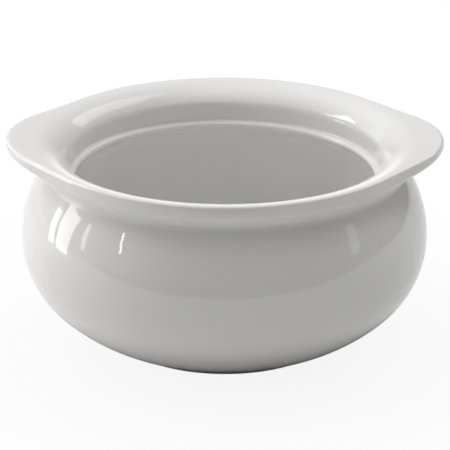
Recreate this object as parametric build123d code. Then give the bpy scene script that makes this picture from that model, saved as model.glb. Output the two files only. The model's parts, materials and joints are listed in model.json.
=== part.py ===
from build123d import *
from build123d.topology import SkipClean

from collections import namedtuple
from math import cos, radians, sin, sqrt, tan
import os

# A glazed stoneware soup crock: a bellied bowl on a dry foot ring, with a neck groove,
# an inner ledge for a lid, and a flange that spreads into two lugs along X.
# Millimetres, Z up, origin at the middle of the foot. Sizes are of the glazed surfaces.

# Flange and lugs
height = 64.9  # crest of the flange, at the lug tips
rim_diameter = 119.8  # across the lip, front to back
lug_reach = 7.6  # how far a lug stands out past the lip
lug_tip_radius = 33.0  # round of a lug's end, seen from above
flange_width = 11.4  # lip to mouth, front and back
flange_slope = 5.0  # degrees, rise of the flange's top towards the lip
flange_roll = 14.0  # radius in which the flange rolls over towards the mouth
lip_thickness = 2.4  # edge of the flange at the lug tips
lip_softness = 0.4  # rounding of the lip's upper and lower edges, as a share of its thickness
underside_slope = 18.0  # degrees, flange seen from below

# Mouth and lid ledge
mouth_round = 3.2  # soft edge between flange and neck
neck_drop = 7.6  # from the crest down to the top of the neck's straight wall
neck_height = 3.5  # straight wall of the neck
ledge_fillet = 0.8
ledge_flat = 0.3
nose_round = 1.0  # half round nose of the ledge

# Neck groove and belly
groove_depth = 4.2  # from the lip in to the bottom of the groove
cove_radius = 3.4  # hollow under the flange
belly_bulge = 3.2  # how far the belly stands out past the lip
belly_height = 33.3  # height of the widest point
belly_turn = 46.5  # degrees below level where the belly opens into its flatter underside
foot_slope = 20.4  # degrees, slope of the belly where it meets the foot

# Walls, foot and glaze
wall = 5.2
floor = 5.4
floor_fillet = 12.0
foot_diameter = 70.0
foot_height = 1.0
foot_width = 4.2
foot_setback = 0.6  # belly's bottom edge past the foot ring
foot_round = 0.35
glaze = 0.3  # thickness of every coat

# Sizes that follow
rim_radius = rim_diameter / 2
tip_radius = rim_radius + lug_reach
mouth_radius = rim_radius - flange_width
groove_radius = rim_radius - groove_depth
belly_radius = rim_radius + belly_bulge
foot_radius = foot_diameter / 2
base_radius = foot_radius + foot_setback
floor_height = foot_height + floor
lip_round = lip_softness * lip_thickness
blank_radius = tip_radius + lug_reach  # flange before it is trimmed to the lugs

Round = namedtuple("Round", "center radius")  # a circle of the section, in (radius, height)
OUT, UP = Vector(1, 0), Vector(0, 1)  # directions in the section
TURN = OUT.rotate(Axis.Z, -belly_turn)  # from the belly's centres to where its two arcs meet
ALONG = OUT.rotate(Axis.Z, flange_slope)  # outwards along the flange's top
ABOVE = UP.rotate(Axis.Z, flange_slope)  # square off the flange's top


def thicken(circle, amount):
    """Concentric circle that lies further out."""
    return Round(circle.center, circle.radius + amount)


def point_on(circle, direction):
    """Point of a circle that faces a direction."""
    return circle.center + direction.normalized() * circle.radius


def point_at_height(circle, level):
    """Outer point of a circle at a height."""
    run = sqrt(circle.radius**2 - (level - circle.center.Y) ** 2)
    return Vector(circle.center.X + run, level)


def lip_end(start):
    """Point past the lug tips that is reached along the flange's slope."""
    return start + ALONG * ((blank_radius - start.X) / ALONG.X)


def touch_within(small, large):
    """Point where a circle touches a larger one from inside."""
    return point_on(small, small.center - large.center)


def touch_beside(first, second):
    """Point where two circles touch side by side."""
    return point_on(first, second.center - first.center)


def arc(center, start, end):
    """Arc of less than half a turn about a centre."""
    spread = (start - center) + (end - center)
    return ThreePointArc(start, center + spread.normalized() * (start - center).length, end)


def belly_rounds():
    """The belly's two arcs, solved so that they run from the widest point to the foot."""
    base = radians(90 - foot_slope)
    reach, drop = belly_radius - base_radius, belly_height - foot_height
    side_r, side_z = 1 - TURN.X, -TURN.Y
    under_r, under_z = TURN.X - cos(base), TURN.Y + sin(base)
    scale = side_r * under_z - under_r * side_z
    side_radius = (reach * under_z - under_r * drop) / scale
    under_radius = (side_r * drop - side_z * reach) / scale
    side = Round(Vector(belly_radius - side_radius, belly_height), side_radius)
    return side, Round(side.center + TURN * (side_radius - under_radius), under_radius)


def cove_round():
    """Hollow between the flange's underside and the bottom of the neck groove."""
    slope = radians(underside_slope)
    center_radius = groove_radius + cove_radius
    underside_height = height - lip_thickness - (tip_radius - center_radius) * tan(slope)
    return Round(Vector(center_radius, underside_height - cove_radius / cos(slope)), cove_radius)


def shoulder_round(cove):
    """Arc from the widest point up to the cove."""
    run = cove.center.X - belly_radius
    rise = cove.center.Y - belly_height
    radius = (run**2 + rise**2 - cove.radius**2) / (2 * (cove.radius - run))
    return Round(Vector(belly_radius - radius, belly_height), radius)


def mouth_edge():
    """Soft edge that joins the flange to the upright neck."""
    return Round(Vector(mouth_radius + mouth_round, height - neck_drop), mouth_round)


def flange_round(mouth):
    """Roll of the flange, from its straight slope over into the mouth's edge."""
    depth = (Vector(tip_radius, height) - mouth.center).dot(ABOVE)
    run = sqrt((flange_roll - mouth_round) ** 2 - (flange_roll - depth) ** 2)
    return Round(mouth.center + ALONG * run - ABOVE * (flange_roll - depth), flange_roll)


def vault_round(nose):
    """Inner wall above the widest point, closing in to the nose of the ledge."""
    inner_radius = belly_radius - wall
    run = inner_radius - nose.center.X
    rise = nose.center.Y - belly_height
    radius = (run**2 + rise**2 - nose.radius**2) / (2 * (run + nose.radius))
    return Round(Vector(inner_radius - radius, belly_height), radius)


def floor_corner(under):
    """Sweep from the flat floor into the inner wall."""
    center_height = floor_height + floor_fillet
    reach = under.radius - floor_fillet
    run = sqrt(reach**2 - (under.center.Y - center_height) ** 2)
    return Round(Vector(under.center.X + run, center_height), floor_fillet)


def inner_rounds():
    """Hollows of the inner outline from floor to ledge, then its bulges from nose to flange."""
    side, under = (thicken(circle, -wall) for circle in belly_rounds())
    mouth = mouth_edge()
    ledge = Round(Vector(mouth_radius - ledge_fillet, mouth.center.Y - neck_height), ledge_fillet)
    nose = Round(ledge.center - OUT * ledge_flat - UP * (ledge_fillet + nose_round), nose_round)
    hollows = [floor_corner(under), under, side, vault_round(nose), ledge]
    return hollows, [nose, mouth, flange_round(mouth)]


def inner_edges(inset):
    """Inner outline at a depth in the wall, from the axis along the floor, up and out over the flange."""
    hollows, bulges = inner_rounds()
    corner, under, side, vault, ledge = (thicken(circle, inset) for circle in hollows)
    nose, mouth, flange = (thicken(circle, -inset) for circle in bulges)

    floor_end = point_on(corner, -UP)
    wall_start = touch_within(corner, under)
    wall_turn = point_on(side, TURN)
    widest = point_on(side, OUT)
    vault_end = touch_beside(vault, nose)
    nose_tip = point_on(nose, -OUT)
    ledge_end = point_on(ledge, -UP)
    neck_foot = point_on(ledge, OUT)
    neck_top = point_on(mouth, -OUT)
    flange_start = touch_within(mouth, flange)
    slope_start = point_on(flange, ABOVE)
    return [
        Line((0, floor_end.Y), floor_end),
        arc(corner.center, floor_end, wall_start),
        arc(under.center, wall_start, wall_turn),
        arc(side.center, wall_turn, widest),
        arc(vault.center, widest, vault_end),
        arc(nose.center, vault_end, nose_tip),
        arc(nose.center, nose_tip, point_on(nose, UP)),
        Line(point_on(nose, UP), ledge_end),
        arc(ledge.center, ledge_end, neck_foot),
        Line(neck_foot, neck_top),
        arc(mouth.center, neck_top, flange_start),
        arc(flange.center, flange_start, slope_start),
        Line(slope_start, lip_end(slope_start)),
    ]


def outer_edges(inset):
    """Outer outline at a depth in the wall, from past the lug tips down the belly and in to the axis."""
    side, under = (thicken(circle, -inset) for circle in belly_rounds())
    shoulder = thicken(shoulder_round(cove_round()), -inset)
    cove = thicken(cove_round(), inset)
    slope = radians(underside_slope)

    underside_end = point_on(cove, Vector(-sin(slope), cos(slope)))
    underside = blank_radius - underside_end.X
    groove = point_on(cove, -OUT)
    cove_end = touch_beside(cove, shoulder)
    widest = point_on(side, OUT)
    belly_end = point_on(side, TURN)
    base = point_at_height(under, foot_height + inset)
    return [
        Line(underside_end + Vector(1, tan(slope)) * underside, underside_end),
        arc(cove.center, underside_end, groove),
        arc(cove.center, groove, cove_end),
        arc(shoulder.center, cove_end, widest),
        arc(side.center, widest, belly_end),
        arc(under.center, belly_end, base),
        Line(base, (0, base.Y)),
    ]


def crock_section(inset):
    """Half section of the crock without its foot ring, at a depth in from the glazed surfaces."""
    inner, outer = inner_edges(inset), outer_edges(inset)
    ends = [Line(inner[-1] @ 1, outer[0] @ 0), Line(outer[-1] @ 1, inner[0] @ 0)]
    return make_face(inner + outer + ends)


def foot_section():
    """Half section of the bare foot ring, up to the clay above the glaze."""
    depth = foot_height + glaze
    ring = Pos(foot_radius - foot_width / 2, depth / 2) * Rectangle(foot_width, depth)
    return fillet(ring.vertices().group_by(Axis.Y)[0], foot_round)


def liner_section():
    """Half section of all that lies inwards of the middle of the floor, the wall and the lip."""
    side, under = (thicken(circle, -wall / 2) for circle in belly_rounds())
    cove = cove_round()
    shoulder = thicken(shoulder_round(cove), -wall / 2)
    mouth = mouth_edge()
    mouth, flange = (thicken(circle, -lip_thickness / 2) for circle in (mouth, flange_round(mouth)))

    floor_end = point_at_height(under, foot_height + floor / 2)
    wall_turn = point_on(side, TURN)
    widest = point_on(side, OUT)
    neck = touch_beside(shoulder, cove)
    flange_start = touch_within(mouth, flange)
    slope_start = point_on(flange, ABOVE)
    lip = lip_end(slope_start)
    top = height + neck_drop
    return make_face(
        [
            Line((0, floor_end.Y), floor_end),
            arc(under.center, floor_end, wall_turn),
            arc(side.center, wall_turn, widest),
            arc(shoulder.center, widest, neck),
            Line(neck, flange_start),
            arc(flange.center, flange_start, slope_start),
            Line(slope_start, lip),
            Polyline(lip, (lip.X, top), (0, top), (0, floor_end.Y)),
        ]
    )


def turned(section):
    """Solid of revolution, joined from two half turns."""
    back = revolve(Plane.XZ * section, Axis.Z, 180)
    return back + mirror(back, Plane.XZ)


def lug_outline(inset):
    """Outline of the flange from above: a round with two ends drawn out into lugs."""
    rim, tip = rim_radius - inset, lug_tip_radius - inset
    tip_center = tip_radius - lug_tip_radius
    tangent = (rim - tip) / tip_center
    lean = sqrt(1 - tangent**2)
    on_rim = Vector(rim * tangent, rim * lean)
    on_tip = Vector(tip_center + tip * tangent, tip * lean)
    corner = make_face(
        [
            Line((0, 0), (0, rim)),
            arc(Vector(0, 0), Vector(0, rim), on_rim),
            Line(on_rim, on_tip),
            arc(Vector(tip_center, 0), on_tip, Vector(tip_center + tip, 0)),
            Line((tip_center + tip, 0), (0, 0)),
        ]
    )
    half = corner + mirror(corner, Plane.XZ)
    return half + mirror(half, Plane.YZ)


def trimmed(section, inset):
    """Turned section with its flange cut to the lugs' outline and its lip rounded."""
    blank = turned(section)
    ring = Circle(blank_radius + lug_reach) - lug_outline(inset)
    waste = extrude(Pos(0, 0, cove_round().center.Y) * ring, height)
    cut = blank - waste
    lip = new_edges(blank, waste, combined=cut).filter_by(Axis.Z, reverse=True)
    return fillet(lip, lip_round - inset)


def crock_nodes():
    """The clay body and the three coats of glaze on it, by name."""
    body = trimmed(crock_section(glaze) + foot_section(), glaze)
    coat = trimmed(crock_section(0), 0) - body
    liner_side = turned(liner_section())
    outside, well = (coat - liner_side).solids().sort_by(SortBy.VOLUME, reverse=True)
    return {
        "stoneware_body": body,
        "inside_glaze": coat & liner_side,
        "outside_glaze": outside,
        "foot_well_glaze": well,
    }


os.makedirs("parts", exist_ok=True)
with SkipClean():  # keeps the half turns apart, so that no curved face closes on itself
    nodes = crock_nodes()
for name, solid in nodes.items():
    export_step(solid, f"parts/{name}.step")
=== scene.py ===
"""A glazed stoneware soup crock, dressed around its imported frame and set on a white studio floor."""

import json
import math
from typing import NamedTuple

import bpy
import numpy as np
from mathutils import Matrix, Quaternion, Vector


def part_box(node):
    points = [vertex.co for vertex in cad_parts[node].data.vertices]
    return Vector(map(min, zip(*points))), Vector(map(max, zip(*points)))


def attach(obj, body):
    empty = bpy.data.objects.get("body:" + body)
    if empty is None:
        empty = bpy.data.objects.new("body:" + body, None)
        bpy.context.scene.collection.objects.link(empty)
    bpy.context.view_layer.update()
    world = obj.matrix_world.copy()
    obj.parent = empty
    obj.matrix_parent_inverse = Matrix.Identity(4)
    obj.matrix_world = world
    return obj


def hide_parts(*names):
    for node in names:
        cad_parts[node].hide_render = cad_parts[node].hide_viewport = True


bl_info = {
    "name": "Lugged Soup Crock",
    "version": (1, 0, 0),
    "blender": (4, 5, 0),
    "location": "View3D > Sidebar > Crock",
    "description": "Glaze coats, bare clay and studio for a lugged soup crock",
    "category": "Add Mesh",
}

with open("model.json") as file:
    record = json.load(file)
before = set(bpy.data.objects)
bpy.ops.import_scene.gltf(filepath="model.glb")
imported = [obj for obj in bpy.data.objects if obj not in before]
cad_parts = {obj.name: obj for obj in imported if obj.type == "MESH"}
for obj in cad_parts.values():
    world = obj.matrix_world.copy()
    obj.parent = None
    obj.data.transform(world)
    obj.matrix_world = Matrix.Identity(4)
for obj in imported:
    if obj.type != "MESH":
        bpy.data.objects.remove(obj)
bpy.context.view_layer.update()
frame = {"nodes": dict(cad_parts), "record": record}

MM = 0.001
BODY_NODE = "stoneware_body"
COAT = 0.3 * MM  # thickness of the glaze coats
WHITE = (1.0, 1.0, 1.0)

inside_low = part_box("inside_glaze")[0]
outside_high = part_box("outside_glaze")[1]
well_low, well_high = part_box("foot_well_glaze")
mounts = {mount["name"]: mount for mount in frame["record"]["mounts"]}


def length(name, description, default):
    """Property for a length of the crock, in metres."""
    return bpy.props.FloatProperty(
        name=name, description=description, default=default, unit="LENGTH", precision=5, min=0.0
    )


def angle(name, description, default):
    """Property for an angle, given in degrees."""
    return bpy.props.FloatProperty(
        name=name, description=description, default=math.radians(default), subtype="ANGLE"
    )


def share(name, description, default, highest=1.0):
    """Property for a plain factor."""
    return bpy.props.FloatProperty(
        name=name, description=description, default=default, min=0.0, max=highest, precision=3
    )


def colour(name, description, default):
    """Property for a linear colour."""
    return bpy.props.FloatVectorProperty(
        name=name, description=description, default=default, subtype="COLOR", size=3, min=0.0, max=1.0
    )


class CrockShape(bpy.types.PropertyGroup):
    """Sizes of the glazed surfaces."""

    tip_radius: length("Lug tip", "From the axis to the end of a lug", outside_high.x)
    rim_radius: length("Rim", "From the axis to the lip, front and back", 59.9 * MM)
    lug_tip_radius: length("Lug round", "Round of a lug's end, seen from above", 33.0 * MM)
    height: length("Crest", "Height of the flange's crest at the lug tips", 64.9 * MM)
    flange_slope: angle("Flange slope", "Rise of the flange's top towards the lip", 5.0)
    flange_roll: length("Flange roll", "Radius in which the flange rolls over to the mouth", 14.0 * MM)
    lip_thickness: length("Lip", "Edge of the flange at the lug tips", 2.4 * MM)
    lip_softness: share("Lip softness", "Rounding of the lip as a share of its thickness", 0.4, 0.49)
    underside_slope: angle("Underside", "Slope of the flange seen from below", 18.0)
    mouth_radius: length("Mouth", "Radius of the neck", mounts["lid_seat"]["dims"]["r_mm"] * MM)
    mouth_round: length("Mouth edge", "Soft edge between flange and neck", 3.2 * MM)
    neck_drop: length("Neck drop", "From the crest down to the neck's straight wall", 7.6 * MM)
    neck_height: length("Neck", "Straight wall of the neck", 3.5 * MM)
    ledge_fillet: length("Ledge fillet", "Hollow at the back of the ledge", 0.8 * MM)
    ledge_flat: length("Ledge flat", "Level part of the ledge", 0.3 * MM)
    nose_round: length("Ledge nose", "Round front of the ledge", 1.0 * MM)
    groove_depth: length("Groove", "From the lip in to the bottom of the groove", 4.2 * MM)
    cove_radius: length("Cove", "Hollow under the flange", 3.4 * MM)
    belly_radius: length("Belly", "Radius at the widest point", outside_high.y)
    belly_height: length("Belly height", "Height of the widest point", 33.3 * MM)
    belly_turn: angle("Belly turn", "Below level, where the belly flattens", 46.5)
    foot_slope: angle("Foot slope", "Slope of the belly at the foot", 20.4)
    wall: length("Wall", "Thickness of the wall", 5.2 * MM)
    floor_height: length("Floor", "Height of the inner floor", inside_low.z + COAT)
    floor_fillet: length("Floor fillet", "Sweep from the floor into the wall", 12.0 * MM)
    foot_radius: length("Foot", "Outer radius of the foot ring", 35.0 * MM)
    foot_setback: length("Foot setback", "Belly's bottom edge past the foot ring", 0.6 * MM)
    well_radius: length("Well", "Inner radius of the foot ring", well_high.x)
    foot_height: length("Foot height", "Height of the foot ring below the glaze", well_low.z)
    glaze: length("Glaze", "Thickness of the coats", COAT)
    bead_round: length("Glaze bead", "Round edge of the glaze at the foot", 0.25 * MM)
    meniscus: length("Meniscus", "Hollow of the glaze against the foot ring", 0.45 * MM)
    columns: bpy.props.IntProperty(
        name="Columns", description="Mesh columns round the axis", default=288, min=24
    )
    arc_step: angle("Arc step", "Turn of an arc between two mesh rows", 5.0)
    row_step: length("Row step", "Longest distance between two mesh rows", 1.5 * MM)


class CrockFinish(bpy.types.PropertyGroup):
    """Colours and surfaces of the glaze and the clay."""

    glaze_colour: colour("Glaze", "Full coat of white glaze", (0.851, 0.845, 0.829))
    # painted highlight: the lighter colour drawn on glaze that thins over an edge
    thin_glaze_highlight_colour: colour("Thin glaze", "Glaze that breaks over an edge", (0.885, 0.872, 0.848))
    pool_colour: colour("Pooled glaze", "Glaze that gathers in a hollow", (0.848, 0.844, 0.832))
    glaze_roughness: share("Glaze roughness", "Roughness of the fired gloss", 0.045)
    wave_length: length("Wave length", "Width of the slow waves in the gloss", 17 * MM)
    wave_height: length("Wave height", "Height of the slow waves", 0.10 * MM)
    peel_length: length("Peel length", "Width of the fine orange peel", 1.6 * MM)
    peel_height: length("Peel height", "Height of the fine orange peel", 0.0025 * MM)
    pinhole_spacing: length("Pinhole spacing", "Distance between pinholes", 14 * MM)
    pinhole_size: length("Pinhole size", "Radius of a pinhole", 0.16 * MM)
    clay_colour: colour("Clay", "Bare fired clay", (0.800, 0.760, 0.700))
    clay_dark: colour("Clay shade", "Dust and grog in the bare clay", (0.560, 0.500, 0.430))
    grain_size: length("Grain", "Width of the clay's grain", 0.45 * MM)


class CrockStudio(bpy.types.PropertyGroup):
    """Camera, floor and even light of the room."""

    camera_distance: length("Camera distance", "From the camera to the object", 0.875)
    camera_pitch: angle("Camera pitch", "How far the camera looks down", 21.325)
    camera_roll: angle("Camera roll", "Turn of the camera about its axis", 0.21)
    focal_length: bpy.props.FloatProperty(
        name="Focal length", description="Lens in millimetres", default=224.23, subtype="DISTANCE_CAMERA"
    )
    aim_side: length("Aim side", "How far beside the axis the camera looks", 0.13 * MM)
    aim_height: length("Aim height", "Height that the camera looks at", 35.3 * MM)
    floor_radius: length("Floor radius", "Size of the studio floor", 3.0)
    floor_colour: colour("Floor", "Pale studio floor", (0.735, 0.735, 0.735))
    shadow_share: share("Shadow", "How much of the shadow the white floor shows", 0.10)
    mirror_share: share("Mirror", "How white the floor is in the reflections on the glaze", 0.55)
    room_light: share("Room light", "Even brightness of the room all round", 0.058, 4.0)


# Thinning of the glaze on each form, from 1 where it breaks over an edge to -1 where it pools; where it is
# positive, the glaze is also drawn lighter as a painted highlight
EVEN = 0.0
LIP_FACE = 0.5
LIP_ROUND = 0.8
MOUTH_EDGE = 0.35
LEDGE_HOLLOW = -0.3
LEDGE_TOP = 0.2
NOSE_FRONT = 1.0
NOSE_UNDERSIDE = 0.8
FLOOR_SWEEP = -0.5
COVE_ROOF = -0.8
COVE_FOOT = -0.6
BEAD_EDGE = 0.5
BEAD_UNDERSIDE = 0.3
WELL_EDGE = -0.6

OUT, UP = np.array((1.0, 0.0)), np.array((0.0, 1.0))  # directions in the section


class Round(NamedTuple):
    """A circle of the section, with its centre as (radius, height)."""

    center: np.ndarray
    radius: float


def thicken(circle, amount):
    """Concentric circle that lies further out."""
    return Round(circle.center, circle.radius + amount)


def point_on(circle, direction):
    """Point of a circle that faces a direction."""
    return circle.center + direction / np.linalg.norm(direction) * circle.radius


def touch_within(small, large):
    """Point where a circle touches a larger one from inside."""
    return point_on(small, small.center - large.center)


def touch_beside(first, second):
    """Point where two circles touch side by side."""
    return point_on(first, second.center - first.center)


class Section:
    """The crock's half section: its rounds, and the points of its two outlines."""

    def __init__(self, shape):
        self.shape = shape
        self.turn = np.array((math.cos(shape.belly_turn), -math.sin(shape.belly_turn)))
        self.side, self.under = self.belly_rounds()
        self.cove = self.cove_round()
        self.shoulder = self.shoulder_round()
        self.along = np.array((math.cos(shape.flange_slope), math.sin(shape.flange_slope)))
        self.above = np.array((-math.sin(shape.flange_slope), math.cos(shape.flange_slope)))
        mouth_center = (shape.mouth_radius + shape.mouth_round, shape.height - shape.neck_drop)
        self.mouth = Round(np.array(mouth_center), shape.mouth_round)
        self.flange = self.flange_round()

    def belly_rounds(self):
        """The belly's two arcs, from the widest point to the foot."""
        s = self.shape
        foot = math.pi / 2 - s.foot_slope
        reach = s.belly_radius - s.foot_radius - s.foot_setback
        drop = s.belly_height - s.foot_height
        equations = (
            (1 - self.turn[0], self.turn[0] - math.cos(foot)),
            (-self.turn[1], math.sin(foot) + self.turn[1]),
        )
        side_radius, under_radius = np.linalg.solve(equations, (reach, drop))
        side = Round(np.array((s.belly_radius - side_radius, s.belly_height)), side_radius)
        return side, Round(side.center + self.turn * (side_radius - under_radius), under_radius)

    def cove_round(self):
        """Hollow between the flange's underside and the bottom of the neck groove."""
        s = self.shape
        center_radius = s.rim_radius - s.groove_depth + s.cove_radius
        level = self.underside_level(center_radius) - s.cove_radius / math.cos(s.underside_slope)
        return Round(np.array((center_radius, level)), s.cove_radius)

    def shoulder_round(self):
        """Arc from the widest point up to the cove."""
        s = self.shape
        run = self.cove.center[0] - s.belly_radius
        rise = self.cove.center[1] - s.belly_height
        radius = (run**2 + rise**2 - self.cove.radius**2) / (2 * (self.cove.radius - run))
        return Round(np.array((s.belly_radius - radius, s.belly_height)), radius)

    def flange_round(self):
        """Roll of the flange, from its straight slope over into the mouth's edge."""
        s = self.shape
        depth = (np.array((s.tip_radius, s.height)) - self.mouth.center) @ self.above
        run = math.sqrt((s.flange_roll - s.mouth_round) ** 2 - (s.flange_roll - depth) ** 2)
        center = self.mouth.center + self.along * run - self.above * (s.flange_roll - depth)
        return Round(center, s.flange_roll)

    def underside_level(self, radius):
        """Height of the flange's underside at a radius."""
        s = self.shape
        return s.height - s.lip_thickness - (s.tip_radius - radius) * math.tan(s.underside_slope)

    def underside_rise(self, radius):
        """Steepness of the flange's underside, which is the same at every radius."""
        return np.full_like(radius, math.tan(self.shape.underside_slope))

    def flange_level(self, radius):
        """Height of the flange's top at a radius."""
        straight = point_on(self.flange, self.above)
        run = np.minimum(radius, straight[0]) - self.flange.center[0]
        beyond = np.maximum(radius - straight[0], 0) * math.tan(self.shape.flange_slope)
        return self.flange.center[1] + np.sqrt(self.flange.radius**2 - run**2) + beyond

    def flange_rise(self, radius):
        """Steepness of the flange's top at a radius."""
        run = np.minimum(radius, point_on(self.flange, self.above)[0]) - self.flange.center[0]
        return -run / np.sqrt(self.flange.radius**2 - run**2)

    def arc(self, circle, start, end):
        """Points along an arc, without its last one."""
        first, last = (math.atan2(*(point - circle.center)[::-1]) for point in (start, end))
        sweep = (last - first + math.pi) % (2 * math.pi) - math.pi
        steps = max(abs(sweep) / self.shape.arc_step, abs(sweep) * circle.radius / self.shape.row_step)
        if abs(last - first) > math.pi:
            last = first + sweep
        turns = np.linspace(first, last, math.ceil(steps) + 1)
        return [circle.center + circle.radius * np.array((math.cos(t), math.sin(t))) for t in turns[:-1]]

    def line(self, start, end):
        """Points along a straight run, without its last one."""
        count = math.ceil(np.linalg.norm(end - start) / self.shape.row_step)
        return [start + (end - start) * i / count for i in range(count)]

    def inside_runs(self):
        """Runs of the liner from the flange down to the middle of the floor, each with its thinning."""
        s = self.shape
        side, under = (thicken(circle, -s.wall) for circle in (self.side, self.under))
        ledge_center = (s.mouth_radius - s.ledge_fillet, self.mouth.center[1] - s.neck_height)
        ledge = Round(np.array(ledge_center), s.ledge_fillet)
        nose_drop = s.ledge_fillet + s.nose_round
        nose = Round(ledge.center - OUT * s.ledge_flat - UP * nose_drop, s.nose_round)
        vault = self.vault_round(nose)
        corner = self.floor_corner(under)

        neck_top, neck_foot = point_on(self.mouth, -OUT), point_on(ledge, OUT)
        ledge_end, nose_top, nose_tip = point_on(ledge, -UP), point_on(nose, UP), point_on(nose, -OUT)
        widest, turn = point_on(side, OUT), point_on(side, self.turn)
        wall_start, floor_end = touch_within(corner, under), point_on(corner, -UP)
        vault_end = touch_beside(vault, nose)
        return [
            (self.arc(self.mouth, touch_within(self.mouth, self.flange), neck_top), MOUTH_EDGE),
            (self.line(neck_top, neck_foot), EVEN),
            (self.arc(ledge, neck_foot, ledge_end), LEDGE_HOLLOW),
            (self.line(ledge_end, nose_top), LEDGE_TOP),
            (self.arc(nose, nose_top, nose_tip), NOSE_FRONT),
            (self.arc(nose, nose_tip, vault_end), NOSE_UNDERSIDE),
            (self.arc(vault, vault_end, widest), EVEN),
            (self.arc(side, widest, turn), EVEN),
            (self.arc(under, turn, wall_start), EVEN),
            (self.arc(corner, wall_start, floor_end), FLOOR_SWEEP),
            (self.line(floor_end, floor_end * UP), EVEN),
        ]

    def vault_round(self, nose):
        """Inner wall above the widest point, closing in to the nose of the ledge."""
        s = self.shape
        inner = s.belly_radius - s.wall
        run, rise = inner - nose.center[0], nose.center[1] - s.belly_height
        radius = (run**2 + rise**2 - nose.radius**2) / (2 * (run + nose.radius))
        return Round(np.array((inner - radius, s.belly_height)), radius)

    def floor_corner(self, under):
        """Sweep from the flat floor into the inner wall."""
        s = self.shape
        level = s.floor_height + s.floor_fillet
        run = math.sqrt((under.radius - s.floor_fillet) ** 2 - (under.center[1] - level) ** 2)
        return Round(np.array((under.center[0] + run, level)), s.floor_fillet)

    def outside_runs(self):
        """Runs of the outer coat from the cove down to the dry foot ring, each with its thinning."""
        s = self.shape
        slope = np.array((-math.sin(s.underside_slope), math.cos(s.underside_slope)))
        cove_start, groove = point_on(self.cove, slope), point_on(self.cove, -OUT)
        cove_end = touch_beside(self.cove, self.shoulder)
        widest, turn = point_on(self.side, OUT), point_on(self.side, self.turn)
        bead = self.bead_circle()
        bead_start, bead_end = touch_within(bead, self.under), point_on(bead, -UP)
        foot = np.array((s.foot_radius, bead_end[1]))
        return [
            (self.arc(self.cove, cove_start, groove), COVE_ROOF),
            (self.arc(self.cove, groove, cove_end), COVE_FOOT),
            (self.arc(self.shoulder, cove_end, widest), EVEN),
            (self.arc(self.side, widest, turn), EVEN),
            (self.arc(self.under, turn, bead_start), EVEN),
            (self.arc(bead, bead_start, bead_end), BEAD_EDGE),
            (self.line(bead_end, foot) + [foot], BEAD_UNDERSIDE),
        ]

    def bead_circle(self):
        """Round edge in which the glaze ends above the foot ring."""
        s = self.shape
        level = s.foot_height + s.bead_round
        run = math.sqrt((self.under.radius - s.bead_round) ** 2 - (self.under.center[1] - level) ** 2)
        return Round(np.array((self.under.center[0] + run, level)), s.bead_round)

    def well_runs(self):
        """Runs of the foot well's coat from the foot ring to the middle, each with its thinning."""
        s = self.shape
        corner = np.array((s.well_radius, s.foot_height))
        hollow = Round(corner - (OUT + UP) * s.meniscus, s.meniscus)
        top, wall = point_on(hollow, UP), point_on(hollow, OUT)
        return [
            (self.arc(hollow, wall, top), WELL_EDGE),
            (self.line(top, top * UP), EVEN),
        ]


UPPER = 1  # side of the lip that leads up to the flange's top
LOWER = -1  # side of the lip that leads down under the flange
LIP_PASSES = 4  # rounds of settling the lip's rounding on the slope beside it
LIP_ROWS = 10
FLANGE_ROWS = 14
SEAM = 0.02 * MM  # narrow mesh row beside a coat's border


class LugOutline:
    """Plan of the lip: where each mesh column meets it, and which way it faces there."""

    def __init__(self, shape):
        turns = np.linspace(0, 2 * math.pi, shape.columns, endpoint=False)
        self.rays = np.stack((np.cos(turns), np.sin(turns)), axis=1)
        across = np.abs(self.rays)
        tip_center = shape.tip_radius - shape.lug_tip_radius
        lean = (shape.rim_radius - shape.lug_tip_radius) / tip_center
        flank = np.array((lean, math.sqrt(1 - lean**2)))
        on_flank = shape.rim_radius / (across @ flank)
        half_chord = np.sqrt(shape.lug_tip_radius**2 - (tip_center * across[:, 1]) ** 2)
        on_tip = tip_center * across[:, 0] + half_chord

        sine = across[:, 1]
        rim_sine = flank[1]
        tip_point = np.array((tip_center, 0)) + flank * shape.lug_tip_radius
        tip_sine = tip_point[1] / np.linalg.norm(tip_point)
        radius = np.where(sine >= rim_sine, shape.rim_radius, np.where(sine >= tip_sine, on_flank, on_tip))
        tip_facing = (across * on_tip[:, None] - (tip_center, 0)) / shape.lug_tip_radius
        facing = np.where((sine < tip_sine)[:, None], tip_facing, flank)
        facing = np.where((sine >= rim_sine)[:, None], across, facing)
        self.points = self.rays * radius[:, None]
        self.facing = facing * np.sign(self.rays)

    def lip_centers(self, softness, slope_at, level_at, side):
        """Centres of the lip's rounding along one edge, and the way it faces where it leaves that edge."""
        flat = self.points - self.facing * softness
        touch = flat
        for _ in range(LIP_PASSES):
            reach = np.linalg.norm(touch, axis=1)
            slope = slope_at(reach)
            tilt = -side * slope / np.sqrt(1 + slope**2)
            touch = flat + softness * tilt[:, None] * touch / reach[:, None]
        facing = np.column_stack((tilt[:, None] * touch / reach[:, None], side / np.sqrt(1 + slope**2)))
        levels = level_at(reach) - softness * facing[:, 2]
        return np.column_stack((flat, levels)), facing


def turned_row(outline, point):
    """Mesh row of one section point, turned round the axis."""
    return np.column_stack((outline.rays * point[0], np.full(len(outline.rays), point[1])))


def rounded_rows(centers, radius, first, last, count):
    """Mesh rows of a rounding that turns from one direction to another."""
    spread = np.arccos(np.clip((first * last).sum(axis=1), -1, 1))[:, None]
    rows = []
    for part in np.linspace(0, 1, count):
        mix = (np.sin((1 - part) * spread) * first + np.sin(part * spread) * last) / np.sin(spread)
        rows.append(centers + radius * mix)
    return rows


def spread_rows(start, ring, level_at, count):
    """Mesh rows over the flange between the lip and a ring round the axis."""
    rows = []
    for part in np.linspace(0, 1, count + 1)[1:-1]:
        plan = start[:, :2] * (1 - part) + ring[:, :2] * part
        rows.append(np.column_stack((plan, level_at(np.linalg.norm(plan, axis=1)))))
    return rows


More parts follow.
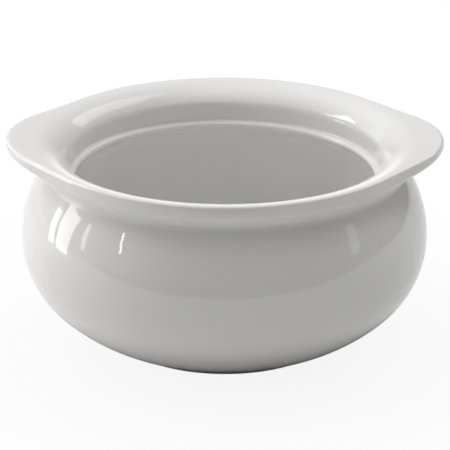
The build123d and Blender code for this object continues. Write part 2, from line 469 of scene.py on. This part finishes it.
def lip_rows(section, outline, side):
    """Mesh rows from the middle of the lip over its upper or lower rounding."""
    softness = section.shape.lip_softness * section.shape.lip_thickness
    edges = {
        UPPER: outline.lip_centers(softness, section.flange_rise, section.flange_level, UPPER),
        LOWER: outline.lip_centers(softness, section.underside_rise, section.underside_level, LOWER),
    }
    level = np.column_stack((outline.facing, np.zeros(len(outline.facing))))
    middle = (edges[UPPER][0] + edges[LOWER][0]) / 2 + softness * level
    centers, facing = edges[side]
    beside = middle + np.array((0, 0, side * SEAM))
    return [middle, beside] + rounded_rows(centers, softness, level, facing, LIP_ROWS)


def flange_rows(section, outline, side, level_at, border):
    """Mesh rows and thinning from the middle of the lip over the flange, as far as a section point."""
    rows = lip_rows(section, outline, side)
    rows += spread_rows(rows[-1], turned_row(outline, border), level_at, FLANGE_ROWS)
    return rows, [LIP_FACE] * 2 + [LIP_ROUND] * LIP_ROWS + [EVEN] * (FLANGE_ROWS - 1)


def runs_to_rows(outline, runs):
    """Mesh rows and thinning of a list of section runs."""
    points = [(point, thin) for run, thin in runs for point in run]
    return [turned_row(outline, point) for point, _ in points], [thin for _, thin in points]


def smoothed(values, passes=2):
    """Row values with soft passages between the runs."""
    values = np.array(values)
    for _ in range(passes):
        padded = np.pad(values, 1, mode="edge")
        values = (padded[:-2] + 2 * padded[1:-1] + padded[2:]) / 4
    return values


# the thinning also places the painted highlight on the edges
THINNING_AND_HIGHLIGHT = "thinning_and_highlight"  # point attribute that holds the thinning


def coat_mesh(name, rows, thinning, inward=False, pole=None):
    """Mesh object of rows that close round the axis, with the thinning stored on its points."""
    columns = len(rows[0])
    points = np.concatenate(rows)
    faces = []
    for row in range(len(rows) - 1):
        for column in range(columns):
            after = (column + 1) % columns
            a, b = row * columns + column, row * columns + after
            faces.append((a, b, b + columns, a + columns))
    values = np.repeat(smoothed(thinning), columns)
    if pole is not None:
        last = (len(rows) - 1) * columns
        faces += [(last + c, last + (c + 1) % columns, len(points)) for c in range(columns)]
        points = np.vstack((points, pole))
        values = np.append(values, EVEN)
    if inward:
        faces = [face[::-1] for face in faces]
    mesh = bpy.data.meshes.new(name)
    mesh.from_pydata(points.tolist(), [], faces)
    mesh.attributes.new(THINNING_AND_HIGHLIGHT, "FLOAT", "POINT").data.foreach_set("value", values.astype(np.float32))
    mesh.shade_smooth()
    mesh.validate()
    piece = bpy.data.objects.new(name, mesh)
    bpy.context.scene.collection.objects.link(piece)
    return piece


def lay_coat(piece, node, scene):
    """Gives a coat its thickness, inwards from the surface, and lays it on in place of its plain node."""
    solid = piece.modifiers.new("coat thickness", "SOLIDIFY")
    solid.thickness = scene.crock_shape.glaze
    solid.offset = -1
    solid.use_even_offset = True
    piece.data.materials.append(kept_material("white_gloss_glaze", glaze_material, scene.crock_finish))
    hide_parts(node)
    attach(piece, "root")


class Value:
    """A node's output, on which arithmetic adds Math nodes."""

    def __init__(self, nodes, socket):
        self.nodes = nodes
        self.socket = socket

    def maths(self, operation, *values):
        """Adds a Math node with an operation and its values."""
        return self.nodes.add("ShaderNodeMath", {"operation": operation}, dict(enumerate(values)))

    def __add__(self, other):
        return self.maths("ADD", self, other)

    def __radd__(self, other):
        return self.maths("ADD", other, self)

    def __sub__(self, other):
        return self.maths("SUBTRACT", self, other)

    def __rsub__(self, other):
        return self.maths("SUBTRACT", other, self)

    def __mul__(self, other):
        return self.maths("MULTIPLY", self, other)

    def __rmul__(self, other):
        return self.maths("MULTIPLY", other, self)

    def __gt__(self, other):
        return self.maths("GREATER_THAN", self, other)


# Sockets of a Mix node that mixes colours
MIX_FACTOR = 0
MIX_FIRST = 6
MIX_SECOND = 7
MIX_RESULT = 2


class Nodes:
    """A node tree that is filled by adding nodes with their settings and inputs."""

    def __init__(self, tree):
        self.tree = tree
        self.tree.nodes.clear()

    def add(self, kind, settings=None, inputs=None, output=0):
        """Adds a node, sets it up, feeds its sockets, and returns one of its outputs."""
        node = self.tree.nodes.new(kind)
        for name, value in (settings or {}).items():
            setattr(node, name, value)
        for name, value in (inputs or {}).items():
            if isinstance(value, Value):
                self.tree.links.new(value.socket, node.inputs[name])
            else:
                node.inputs[name].default_value = value
        return Value(self, node.outputs[output]) if node.outputs else node

    def mix(self, factor, first, second):
        """Colour between two colours."""
        colours = {MIX_FACTOR: factor, MIX_FIRST: opaque(first), MIX_SECOND: opaque(second)}
        return self.add("ShaderNodeMix", {"data_type": "RGBA"}, colours, MIX_RESULT)

    def blend(self, factor, *shaders):
        """Shader between two shaders, or between one and black."""
        return self.add("ShaderNodeMixShader", None, dict(enumerate((factor, *shaders))))

    def soft_step(self, value, low, high):
        """0 below low, 1 above high, and smooth between them."""
        limits = {"Value": value, "From Min": low, "From Max": high}
        return self.add("ShaderNodeMapRange", {"interpolation_type": "SMOOTHSTEP"}, limits)

    def noise(self, place, size, detail=2.0, roughness=0.5):
        """Noise whose features are about one size wide."""
        inputs = {"Vector": place, "Scale": 1 / size, "Detail": detail, "Roughness": roughness}
        return self.add("ShaderNodeTexNoise", None, inputs)

    def cells(self, place, size, output):
        """Random cells about one size wide: their distance or their colour."""
        return self.add("ShaderNodeTexVoronoi", None, {"Vector": place, "Scale": 1 / size}, output)

    def bump(self, height, distance, under=None):
        """Normal that is tilted by a height."""
        inputs = {"Height": height, "Distance": distance, "Strength": 1.0}
        if under is not None:
            inputs["Normal"] = under
        return self.add("ShaderNodeBump", None, inputs)


def opaque(value):
    """A colour with its alpha, or a link as it is."""
    return value if isinstance(value, Value) else (*value, 1.0)


def new_material(name):
    """Empty node material and the nodes that fill it."""
    material = bpy.data.materials.new(name)
    material.use_nodes = True
    return material, Nodes(material.node_tree)


def kept_material(name, make, finish):
    """Material made once and shared by the pieces that use it."""
    return bpy.data.materials.get(name) or make(finish)


# Glaze: cloudy patches, thin glaze over edges that is drawn lighter as a painted highlight, pooled glaze
# and pinholes
GLAZE_IOR = 1.52
NOISE_MIDDLE = 0.5  # mean of a noise
PATCH_WAVES = 3  # width of a cloudy patch, in waves
PATCH_TINT = 0.35
PATCH_SHIFT = 0.5  # how far the patches move the line where the glaze breaks and its painted highlight begins
CLEAR_ROUGHNESS = 0.7  # roughness beside the patches, as a share of the glaze's own
PATCH_ROUGHNESS = 0.6  # what a full patch adds to that share
BREAK_AND_HIGHLIGHT_RANGE = (0.15, 1.1)  # thinning between which the glaze breaks and is drawn lighter as a painted highlight
# share of the painted highlight colour on the thinned edges
EDGE_HIGHLIGHT_TINT = 0.6
BREAK_ROUGHNESS = 0.05
POOL_RANGE = (0.1, 1.0)  # thinning below zero between which it pools
POOL_ROUGHNESS = 0.45
PINHOLE_CORE = 0.4  # part of a pinhole's radius that lies at its full depth
PINHOLE_RARITY = 0.6  # share of the cells that have no pinhole
PINHOLE_TINT = 0.5
PINHOLE_ROUGHNESS = 0.2


def glaze_material(finish):
    """Fired white gloss: slow waves, orange peel, rare pinholes, thin over edges with a painted highlight,
    pooled in hollows.
    """
    material, nodes = new_material("white_gloss_glaze")
    place = nodes.add("ShaderNodeTexCoord", output="Object")
    thin = nodes.add("ShaderNodeAttribute", {"attribute_name": THINNING_AND_HIGHLIGHT}, output="Fac")

    waves = nodes.noise(place, finish.wave_length, detail=1.0)
    peel = nodes.noise(place, finish.peel_length)
    patches = nodes.noise(place, PATCH_WAVES * finish.wave_length, detail=3.0)
    distance = nodes.cells(place, finish.pinhole_spacing, "Distance")
    cell = nodes.cells(place, finish.pinhole_spacing, "Color")
    chance = nodes.add("ShaderNodeSeparateColor", None, {"Color": cell})
    rim = finish.pinhole_size / finish.pinhole_spacing
    pinhole = (1 - nodes.soft_step(distance, PINHOLE_CORE * rim, rim)) * (chance > PINHOLE_RARITY)

    # this mask marks the edges where the glaze thins; it roughens them and draws them lighter as a painted
    # highlight
    break_and_highlight = nodes.soft_step(thin + PATCH_SHIFT * (patches - NOISE_MIDDLE), *BREAK_AND_HIGHLIGHT_RANGE)
    pooled = nodes.soft_step(0 - thin, *POOL_RANGE)
    tint = nodes.mix(PATCH_TINT * patches, finish.glaze_colour, finish.pool_colour)
    tint = nodes.mix(pooled, tint, finish.pool_colour)
    # painted highlight: lighter colour on the thinned edges
    tint = nodes.mix(EDGE_HIGHLIGHT_TINT * break_and_highlight, tint, finish.thin_glaze_highlight_colour)
    tint = nodes.mix(PINHOLE_TINT * pinhole, tint, finish.clay_dark)
    roughness = finish.glaze_roughness * (CLEAR_ROUGHNESS + PATCH_ROUGHNESS * patches)
    roughness = roughness + BREAK_ROUGHNESS * break_and_highlight + POOL_ROUGHNESS * pooled
    roughness = roughness + PINHOLE_ROUGHNESS * pinhole

    normal = nodes.bump(waves, finish.wave_height)
    normal = nodes.bump(peel, finish.peel_height, normal)
    normal = nodes.bump(1 - pinhole, finish.pinhole_size, normal)
    surface = {"Base Color": tint, "Roughness": roughness, "Normal": normal, "IOR": GLAZE_IOR}
    gloss = nodes.add("ShaderNodeBsdfPrincipled", None, surface)
    nodes.add("ShaderNodeOutputMaterial", None, {"Surface": gloss})
    return material


# Clay: grain, scuffed patches and specks of grog
GRAIN_TINT = 0.25
GRAIN_DEPTH = 0.12  # depth of the grain, as a share of its width
GRAIN_ROUGHNESS = 0.12
CLAY_ROUGHNESS = 0.82
SCUFF_GRAINS = 20  # width of a scuffed patch, in grains
SCUFF_FRAY = 0.4  # how far the grain frays a patch's edge
SCUFF_RANGE = (0.62, 0.85)  # noise between which the scuffing sets in
SCUFF_TINT = 0.35
GROG_GRAINS = 3  # distance between specks of grog, in grains
GROG_RANGE = (0.10, 0.22)  # edge of a speck, as a share of that distance
GROG_TINT = 0.55
GROG_HEIGHT = 0.6  # height of a speck, as a share of the grain's


def clay_material(finish):
    """Bare fired clay of the foot ring: dry, grainy, a little dusty and scuffed."""
    material, nodes = new_material("dry_fired_clay")
    place = nodes.add("ShaderNodeTexCoord", output="Object")
    grain = nodes.noise(place, finish.grain_size, detail=4.0, roughness=0.65)
    patches = nodes.noise(place, SCUFF_GRAINS * finish.grain_size, detail=3.0)
    specks = nodes.cells(place, GROG_GRAINS * finish.grain_size, "Distance")
    grog = 1 - nodes.soft_step(specks, *GROG_RANGE)
    scuff = nodes.soft_step(patches + SCUFF_FRAY * grain, *SCUFF_RANGE)
    tint = nodes.mix(SCUFF_TINT * scuff + GRAIN_TINT * grain, finish.clay_colour, finish.clay_dark)
    tint = nodes.mix(GROG_TINT * grog, tint, finish.clay_dark)
    roughness = CLAY_ROUGHNESS + GRAIN_ROUGHNESS * grain
    normal = nodes.bump(grain + GROG_HEIGHT * grog, GRAIN_DEPTH * finish.grain_size)
    surface = {"Base Color": tint, "Roughness": roughness, "Normal": normal}
    dry = nodes.add("ShaderNodeBsdfPrincipled", None, surface)
    nodes.add("ShaderNodeOutputMaterial", None, {"Surface": dry})
    return material


class CROCK_OT_inside_glaze(bpy.types.Operator):
    """Lay the liner glaze over the flange, the neck, the ledge, the wall and the floor"""

    bl_idname = "crock.inside_glaze"
    bl_label = "Inside Glaze"

    def execute(self, context):
        shape = context.scene.crock_shape
        section, outline = Section(shape), LugOutline(shape)
        border = touch_within(section.mouth, section.flange)
        rows, thinning = flange_rows(section, outline, UPPER, section.flange_level, border)
        lower, lower_thinning = runs_to_rows(outline, section.inside_runs())
        middle = (0, 0, shape.floor_height)
        piece = coat_mesh("inside_glaze_coat", rows + lower, thinning + lower_thinning, pole=middle)
        lay_coat(piece, "inside_glaze", context.scene)
        return {"FINISHED"}


class CROCK_OT_outside_glaze(bpy.types.Operator):
    """Lay the outer glaze under the flange, round the neck groove and down the belly to the foot"""

    bl_idname = "crock.outside_glaze"
    bl_label = "Outside Glaze"

    def execute(self, context):
        shape = context.scene.crock_shape
        section, outline = Section(shape), LugOutline(shape)
        runs = section.outside_runs()
        border = runs[0][0][0]
        rows, thinning = flange_rows(section, outline, LOWER, section.underside_level, border)
        lower, lower_thinning = runs_to_rows(outline, runs)
        piece = coat_mesh("outside_glaze_coat", rows + lower, thinning + lower_thinning, inward=True)
        lay_coat(piece, "outside_glaze", context.scene)
        return {"FINISHED"}


class CROCK_OT_foot_well_glaze(bpy.types.Operator):
    """Lay the glaze in the well of the foot, drawn down a little against the foot ring"""

    bl_idname = "crock.foot_well_glaze"
    bl_label = "Foot Well Glaze"

    def execute(self, context):
        shape = context.scene.crock_shape
        rows, thinning = runs_to_rows(LugOutline(shape), Section(shape).well_runs())
        middle = (0, 0, shape.foot_height)
        piece = coat_mesh("foot_well_coat", rows, thinning, inward=True, pole=middle)
        lay_coat(piece, "foot_well_glaze", context.scene)
        return {"FINISHED"}


class CROCK_OT_bare_clay(bpy.types.Operator):
    """Give the clay body its dry fired surface, which shows on the foot ring"""

    bl_idname = "crock.bare_clay"
    bl_label = "Bare Clay"

    def execute(self, context):
        clay = kept_material("dry_fired_clay", clay_material, context.scene.crock_finish)
        body = frame["nodes"][BODY_NODE]
        body.data.materials.clear()
        body.data.materials.append(clay)
        return {"FINISHED"}


class Pane(NamedTuple):
    """Bright rectangle on a wall of the studio, with lengths in metres and angles in degrees."""

    name: str
    bearing: float  # of the wall, from the camera's side
    distance: float  # from the axis to the wall
    along: float  # place along the wall
    level: float  # height of the middle
    width: float
    height: float
    lean: float  # turn to one side
    overhang: float  # tip of the top towards the crock
    brightness: float


PANES = (
    Pane("left_narrow_pane", -105, 0.42, -0.018, 0.076, 0.042, 0.140, 11, 0, 3.3),
    Pane("left_wide_pane", -105, 0.42, 0.060, 0.086, 0.084, 0.236, 8, 40, 3.7),
    Pane("left_pane_edge", -105, 0.42, 0.172, 0.155, 0.026, 0.160, 12, 0, 2.6),
    Pane("left_high_pane", -112, 0.42, 0.020, 0.390, 0.260, 0.120, 0, 0, 4.4),
    Pane("left_strip", -68, 1.0, 0.095, 0.480, 0.026, 0.360, 14, 0, 9.0),
    Pane("left_back_pane", -132, 0.9, 0.0, 0.240, 0.620, 0.480, 0, 10, 0.40),
    Pane("right_back_pane", 135, 0.78, 0.0, 0.900, 0.380, 0.820, 24, 49, 1.5),
    Pane("right_dim_strip", 82, 1.0, -0.042, 0.375, 0.110, 0.420, -18, 0, 0.85),
)
AREA_LAMP_FACTOR = 4.0  # watts of an area lamp per square metre and unit of brightness


def add_pane(pane):
    """Area lamp that shows as a bright pane and faces the crock."""
    bearing = math.radians(pane.bearing)
    away = Vector((math.sin(bearing), -math.cos(bearing), 0))
    along = Vector((math.cos(bearing), math.sin(bearing), 0))
    lamp = bpy.data.lights.new(pane.name, "AREA")
    lamp.shape = "RECTANGLE"
    lamp.size, lamp.size_y = pane.width, pane.height
    lamp.energy = pane.brightness * AREA_LAMP_FACTOR * pane.width * pane.height
    holder = bpy.data.objects.new(pane.name, lamp)
    turn = Matrix((along, Vector((0, 0, 1)), away)).transposed().to_quaternion()
    holder.rotation_mode = "QUATERNION"
    tip = Quaternion((1, 0, 0), -math.radians(pane.overhang))
    holder.rotation_quaternion = turn @ tip @ Quaternion((0, 0, 1), math.radians(pane.lean))
    holder.location = away * pane.distance + along * pane.along + Vector((0, 0, pane.level))
    bpy.context.scene.collection.objects.link(holder)


FLOOR_POINTS = 96  # corners of the round floor
FLOOR_GAP = 0.02 * MM  # keeps the floor clear of the foot ring that stands on it
FLOOR_GRAIN = 4 * MM
FLOOR_SPECKS = 0.1  # how far the grain whitens the floor
FLOOR_FADE = (0.07, 0.15)  # distances from the axis between which the floor passes into plain white
MIRROR_FADE = (0.050, 0.066)  # the same for the floor in the glaze's reflections
DARK_REFLECTION_EDGE = (0.22, 0.24)  # distances in front beyond which the floor is black in those reflections only, a painted dark reflection


def floor_material(studio):
    """White floor with a shadow near the crock. In reflections it is dimmer, and black some way in front:
    a painted dark reflection.
    """
    material, nodes = new_material("white_studio_floor")
    place = nodes.add("ShaderNodeTexCoord", output="Object")
    reach = nodes.add("ShaderNodeVectorMath", {"operation": "LENGTH"}, {0: place}, "Value")
    rays = ("Is Camera Ray", "Is Glossy Ray", "Is Transmission Ray")
    seen, mirrored, refracted = (nodes.add("ShaderNodeLightPath", output=ray) for ray in rays)
    shadow = studio.shadow_share * (1 - nodes.soft_step(reach, *FLOOR_FADE))
    mirrored = mirrored + refracted
    white = seen * (1 - shadow) + studio.mirror_share * mirrored * nodes.soft_step(reach, *MIRROR_FADE)
    white = nodes.add("ShaderNodeClamp", None, {"Value": white})

    tints = (opaque(studio.floor_colour), opaque(WHITE))
    paper, specks = (nodes.add("ShaderNodeBsdfDiffuse", None, {"Color": tint}) for tint in tints)
    matte = nodes.blend(FLOOR_SPECKS * nodes.noise(place, FLOOR_GRAIN), paper, specks)
    glow = nodes.add("ShaderNodeEmission", None, {"Color": opaque(WHITE), "Strength": 1.0})
    sheet = nodes.blend(white, matte, glow)
    in_front = 0 - nodes.add("ShaderNodeSeparateXYZ", None, {"Vector": place}, "Y")
    # in reflections only, the floor turns black beyond the front edge: a painted dark reflection
    floor = nodes.blend(mirrored * nodes.soft_step(in_front, *DARK_REFLECTION_EDGE), sheet)
    nodes.add("ShaderNodeOutputMaterial", None, {"Surface": floor})
    return material


def add_floor(studio):
    """Round pale floor under the crock."""
    reach = studio.floor_radius
    turns = np.linspace(0, 2 * math.pi, FLOOR_POINTS, endpoint=False)
    points = [(reach * math.cos(t), reach * math.sin(t), -FLOOR_GAP) for t in turns]
    mesh = bpy.data.meshes.new("studio_floor")
    mesh.from_pydata(points, [], [tuple(range(len(points)))])
    floor = bpy.data.objects.new("studio_floor", mesh)
    mesh.materials.append(floor_material(studio))
    bpy.context.scene.collection.objects.link(floor)


class Glow(NamedTuple):
    """Soft bright part of the room, with angles in degrees."""

    bearing: float  # from the camera's side
    rise: float  # above level
    sharpness: float  # power of its fall towards the sides
    brightness: float


ROOM_GLOWS = (
    Glow(0, 90, 12, 1.95),  # ceiling
    Glow(-135, 45, 6, 1.45),  # high behind, on the left
    Glow(135, 45, 6, 0.58),  # high behind, on the right
    Glow(0, 60, 6, 0.26),  # high in front
    Glow(180, 4, 90, 1.20),  # foot of the back wall
)


def toward(bearing, rise):
    """Direction at a bearing from the camera's side and a height above level, in degrees."""
    bearing, rise = math.radians(bearing), math.radians(rise)
    return (math.sin(bearing) * math.cos(rise), -math.cos(bearing) * math.cos(rise), math.sin(rise))


def light_room(studio):
    """Soft light from the studio's ceiling and walls."""
    world = bpy.data.worlds.new("studio_room")
    bpy.context.scene.world = world
    world.use_nodes = True
    nodes = Nodes(world.node_tree)
    direction = nodes.add("ShaderNodeTexCoord", output="Generated")
    light = studio.room_light
    for glow in ROOM_GLOWS:
        ends = {0: direction, 1: toward(glow.bearing, glow.rise)}
        facing = nodes.add("ShaderNodeVectorMath", {"operation": "DOT_PRODUCT"}, ends, "Value")
        lobe = facing.maths("POWER", facing.maths("MAXIMUM", facing, 0.0), glow.sharpness)
        light = light + glow.brightness * lobe
    room = nodes.add("ShaderNodeBackground", None, {"Color": light, "Strength": 1.0})
    nodes.add("ShaderNodeOutputWorld", None, {"Surface": room})


def add_camera(studio):
    """Camera that looks down at the crock from the front."""
    data = bpy.data.cameras.new("table_camera")
    data.sensor_fit = "HORIZONTAL"
    data.lens = studio.focal_length
    camera = bpy.data.objects.new("table_camera", data)
    back = Vector((0, -math.cos(studio.camera_pitch), math.sin(studio.camera_pitch)))
    camera.location = Vector((studio.aim_side, 0, studio.aim_height)) + back * studio.camera_distance
    camera.rotation_mode = "QUATERNION"
    level = (-back).to_track_quat("-Z", "Y")
    camera.rotation_quaternion = level @ Quaternion((0, 0, 1), studio.camera_roll)
    bpy.context.scene.collection.objects.link(camera)
    bpy.context.scene.camera = camera


class CROCK_OT_studio(bpy.types.Operator):
    """Set up the floor, the light, the bright panes and the camera"""

    bl_idname = "crock.studio"
    bl_label = "Studio"

    def execute(self, context):
        studio = context.scene.crock_studio
        context.scene.view_settings.view_transform = "Standard"
        add_floor(studio)
        light_room(studio)
        for pane in PANES:
            add_pane(pane)
        add_camera(studio)
        return {"FINISHED"}


OPERATORS = (
    CROCK_OT_inside_glaze,
    CROCK_OT_outside_glaze,
    CROCK_OT_foot_well_glaze,
    CROCK_OT_bare_clay,
    CROCK_OT_studio,
)
SETTINGS = {"crock_shape": CrockShape, "crock_finish": CrockFinish, "crock_studio": CrockStudio}


class CROCK_PT_panel(bpy.types.Panel):
    """Lists the steps that make the crock"""

    bl_idname = "CROCK_PT_panel"
    bl_label = "Soup Crock"
    bl_space_type = "VIEW_3D"
    bl_region_type = "UI"
    bl_category = "Crock"

    def draw(self, context):
        for operator in OPERATORS:
            self.layout.operator(operator.bl_idname)


def register():
    for kind in (*SETTINGS.values(), *OPERATORS, CROCK_PT_panel):
        bpy.utils.register_class(kind)
    for name, kind in SETTINGS.items():
        setattr(bpy.types.Scene, name, bpy.props.PointerProperty(type=kind))


def unregister():
    for name in SETTINGS:
        delattr(bpy.types.Scene, name)
    for kind in (CROCK_PT_panel, *reversed(OPERATORS), *SETTINGS.values()):
        bpy.utils.unregister_class(kind)


def main():
    register()
    bpy.ops.crock.inside_glaze()
    bpy.ops.crock.outside_glaze()
    bpy.ops.crock.foot_well_glaze()
    bpy.ops.crock.bare_clay()
    bpy.ops.crock.studio()


if __name__ == "__main__":
    main()
